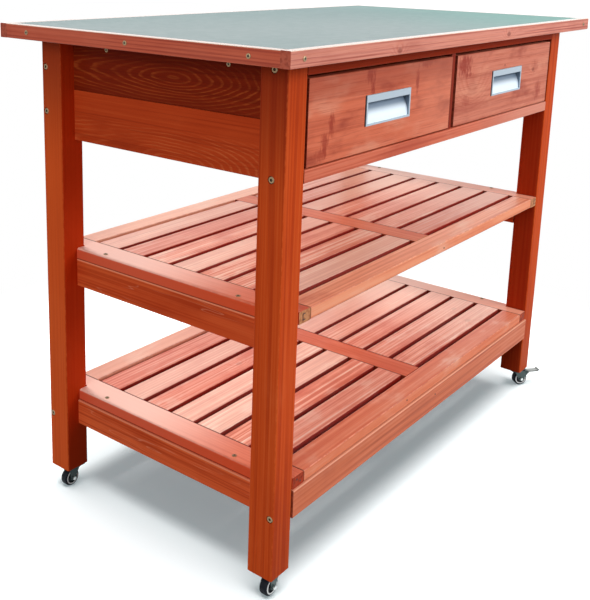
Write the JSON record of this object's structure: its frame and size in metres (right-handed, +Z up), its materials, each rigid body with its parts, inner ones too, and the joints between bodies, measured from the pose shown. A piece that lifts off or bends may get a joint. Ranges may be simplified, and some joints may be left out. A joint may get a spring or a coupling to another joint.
{
  "type": "serving cart",
  "caption": "Wooden serving cart on swivel casters, with a sheet-metal worktop, side-by-side drawers with flush pulls and slatted shelves below.",
  "frame": {"origin": "on the floor, under the middle of the worktop", "axes": "+X along the length to the right as one faces the drawers, -Y out of the drawer fronts, +Z up"},
  "size_m": [1.132, 0.604, 0.871],
  "materials": {
    "stained_wood": "red-orange stain under satin varnish",
    "drawer_wood": "red-orange stain, knotty, satin varnish",
    "shelf_wood": "red-orange stain, satin varnish",
    "strip_wood": "pinkish stain, satin varnish",
    "plain_pine": "bare softwood",
    "galvanised_sheet": "dull galvanised",
    "satin_metal": "satin",
    "yellow_zinc": "yellow zinc plate",
    "zinc_plate": "zinc plate",
    "caster_rubber": "black rubber",
    "caster_plastic": "black moulded",
    "lever_plastic": "black moulded"
  },
  "bodies": {
    "frame": {"back_panel": "stained_wood", "caster_plates": "zinc_plate", "drawer_bottom_rail": "stained_wood", "drawer_divider": "stained_wood", "drawer_runners": "plain_pine", "drawer_top_rail": "stained_wood", "end_panel_left": "stained_wood", "end_panel_right": "stained_wood", "leg_back_left": "stained_wood", "leg_back_right": "stained_wood", "leg_front_left": "stained_wood", "leg_front_right": "stained_wood", "leg_screws": "yellow_zinc", "lower_back_rail": "stained_wood", "lower_bearers": "plain_pine", "lower_crosspiece": "shelf_wood", "lower_edge_boards": "shelf_wood", "lower_end_boards": "shelf_wood", "lower_end_rails": "stained_wood", "lower_front_rail": "stained_wood", "lower_slats": "shelf_wood", "top_cleats": "plain_pine", "top_panel": "plain_pine", "top_sheet": "galvanised_sheet", "top_strip_back": "strip_wood", "top_strip_front": "strip_wood", "top_strip_left": "strip_wood", "top_strip_right": "strip_wood", "upper_bearers": "plain_pine", "upper_crosspiece": "shelf_wood", "upper_edge_boards": "shelf_wood", "upper_end_boards": "shelf_wood", "upper_end_rails": "stained_wood", "upper_slats": "shelf_wood"},
    "left_drawer": {"left_drawer_back": "plain_pine", "left_drawer_bottom": "plain_pine", "left_drawer_front": "drawer_wood", "left_drawer_pull": "satin_metal", "left_drawer_sides": "plain_pine"},
    "right_drawer": {"right_drawer_back": "plain_pine", "right_drawer_bottom": "plain_pine", "right_drawer_front": "drawer_wood", "right_drawer_pull": "satin_metal", "right_drawer_sides": "plain_pine"},
    "caster_front_left": {"fork_front_left": "zinc_plate"},
    "wheel_front_left": {"tyre_front_left": "caster_rubber", "hub_front_left": "caster_plastic"},
    "caster_front_right": {"fork_front_right": "zinc_plate"},
    "wheel_front_right": {"tyre_front_right": "caster_rubber", "hub_front_right": "caster_plastic"},
    "brake_front_right": {"brake_lever_front_right": "lever_plastic"},
    "caster_back_left": {"fork_back_left": "zinc_plate"},
    "wheel_back_left": {"tyre_back_left": "caster_rubber", "hub_back_left": "caster_plastic"},
    "caster_back_right": {"fork_back_right": "zinc_plate"},
    "wheel_back_right": {"tyre_back_right": "caster_rubber", "hub_back_right": "caster_plastic"},
    "brake_back_right": {"brake_lever_back_right": "lever_plastic"}
  },
  "joints": [
    {"name": "left_drawer_slide", "type": "slide", "parent": "frame", "child": "left_drawer", "axis": [0, -1, 0], "range_m": [0, 0.36]},
    {"name": "right_drawer_slide", "type": "slide", "parent": "frame", "child": "right_drawer", "axis": [0, -1, 0], "range_m": [0, 0.36]},
    {"name": "front_left_swivel", "type": "hinge", "parent": "frame", "child": "caster_front_left", "pos_m": [-0.483, -0.242, 0.036], "axis": [0, 0, 1], "continuous": true},
    {"name": "front_left_roll", "type": "hinge", "parent": "caster_front_left", "child": "wheel_front_left", "pos_m": [-0.493, -0.242, 0.0165], "axis": [0, 1, 0], "continuous": true},
    {"name": "front_right_swivel", "type": "hinge", "parent": "frame", "child": "caster_front_right", "pos_m": [0.487, -0.244, 0.036], "axis": [0, 0, 1], "continuous": true},
    {"name": "front_right_roll", "type": "hinge", "parent": "caster_front_right", "child": "wheel_front_right", "pos_m": [0.49477, -0.25029, 0.0165], "axis": [-0.6293, -0.7771, 0], "continuous": true},
    {"name": "front_right_brake", "type": "hinge", "parent": "caster_front_right", "child": "brake_front_right", "pos_m": [0.50643, -0.25973, 0.0325], "axis": [-0.6293, -0.7771, 0], "range_deg": [-12, 0]},
    {"name": "back_left_swivel", "type": "hinge", "parent": "frame", "child": "caster_back_left", "pos_m": [-0.485, 0.2305, 0.036], "axis": [0, 0, 1], "continuous": true},
    {"name": "back_left_roll", "type": "hinge", "parent": "caster_back_left", "child": "wheel_back_left", "pos_m": [-0.495, 0.2305, 0.0165], "axis": [0, 1, 0], "continuous": true},
    {"name": "back_right_swivel", "type": "hinge", "parent": "frame", "child": "caster_back_right", "pos_m": [0.485, 0.231, 0.036], "axis": [0, 0, 1], "continuous": true},
    {"name": "back_right_roll", "type": "hinge", "parent": "caster_back_right", "child": "wheel_back_right", "pos_m": [0.49406, 0.23523, 0.0165], "axis": [0.4226, -0.9063, 0], "continuous": true},
    {"name": "back_right_brake", "type": "hinge", "parent": "caster_back_right", "child": "brake_back_right", "pos_m": [0.50766, 0.24157, 0.0325], "axis": [0.4226, -0.9063, 0], "range_deg": [-12, 0]}
  ]
}
